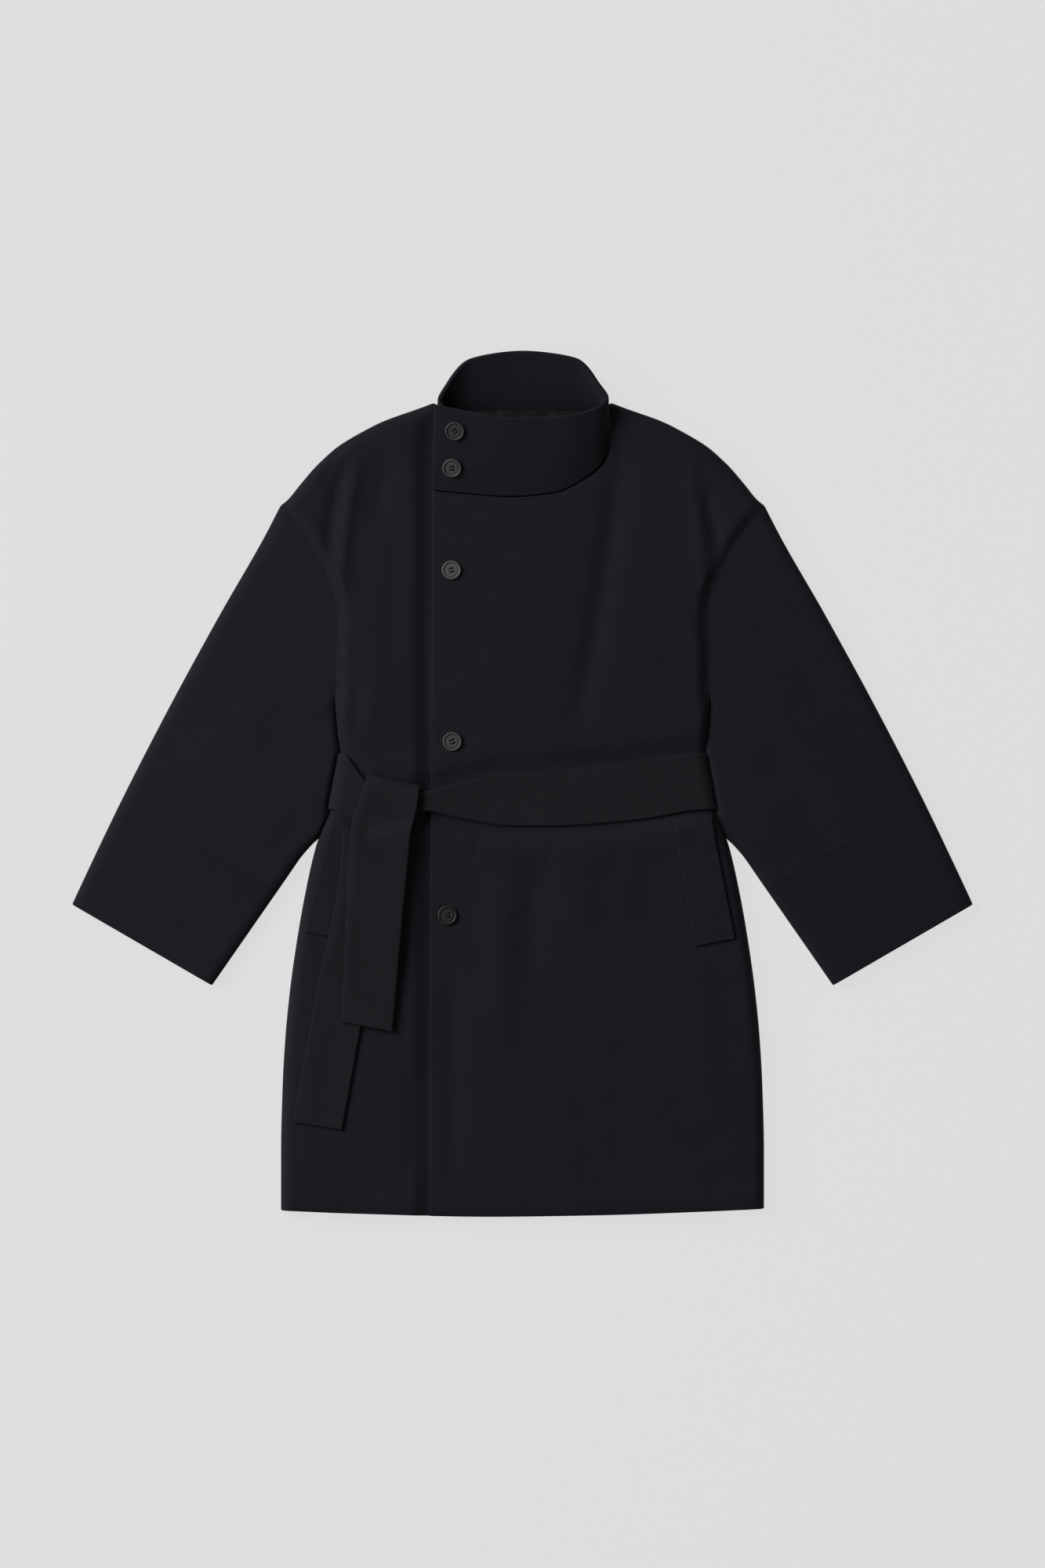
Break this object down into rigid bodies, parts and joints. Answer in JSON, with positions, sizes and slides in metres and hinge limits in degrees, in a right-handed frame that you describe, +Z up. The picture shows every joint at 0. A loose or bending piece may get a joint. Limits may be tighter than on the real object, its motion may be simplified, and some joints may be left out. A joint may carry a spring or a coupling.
{
  "type": "padded coat",
  "caption": "Padded stand-collar coat laid flat and closed, with a buttoned overlapping front, tied cloth belt, welt pockets and wide sleeves with stitched cuffs.",
  "frame": {"origin": "middle of the coat's outline, on the floor that it lies on", "axes": "+X to the wearer's left, across both sleeves; +Y from the hem to the collar; +Z up from the floor, out of the front"},
  "size_m": [1.033, 0.9921, 0.0479],
  "materials": {
    "cloth": "dark navy wool cloth, matt",
    "belt_cloth": "the same cloth, pressed",
    "satin": "brown-grey satin lining",
    "moulded_button": "dark grey, dull"
  },
  "bodies": {
    "root": {"back": "cloth", "front_over": "cloth", "front_under": "cloth", "sleeve_left_upper": "cloth", "sleeve_left_under": "cloth", "sleeve_right_upper": "cloth", "sleeve_right_under": "cloth", "collar": "cloth", "neck_lining": "satin", "belt": "belt_cloth", "belt_tail_over": "belt_cloth", "belt_tail_under": "belt_cloth", "pocket_welt_left": "cloth", "pocket_welt_right": "cloth", "button_1": "moulded_button", "button_2": "moulded_button", "button_3": "moulded_button", "button_4": "moulded_button", "button_5": "moulded_button"}
  },
  "joints": []
}
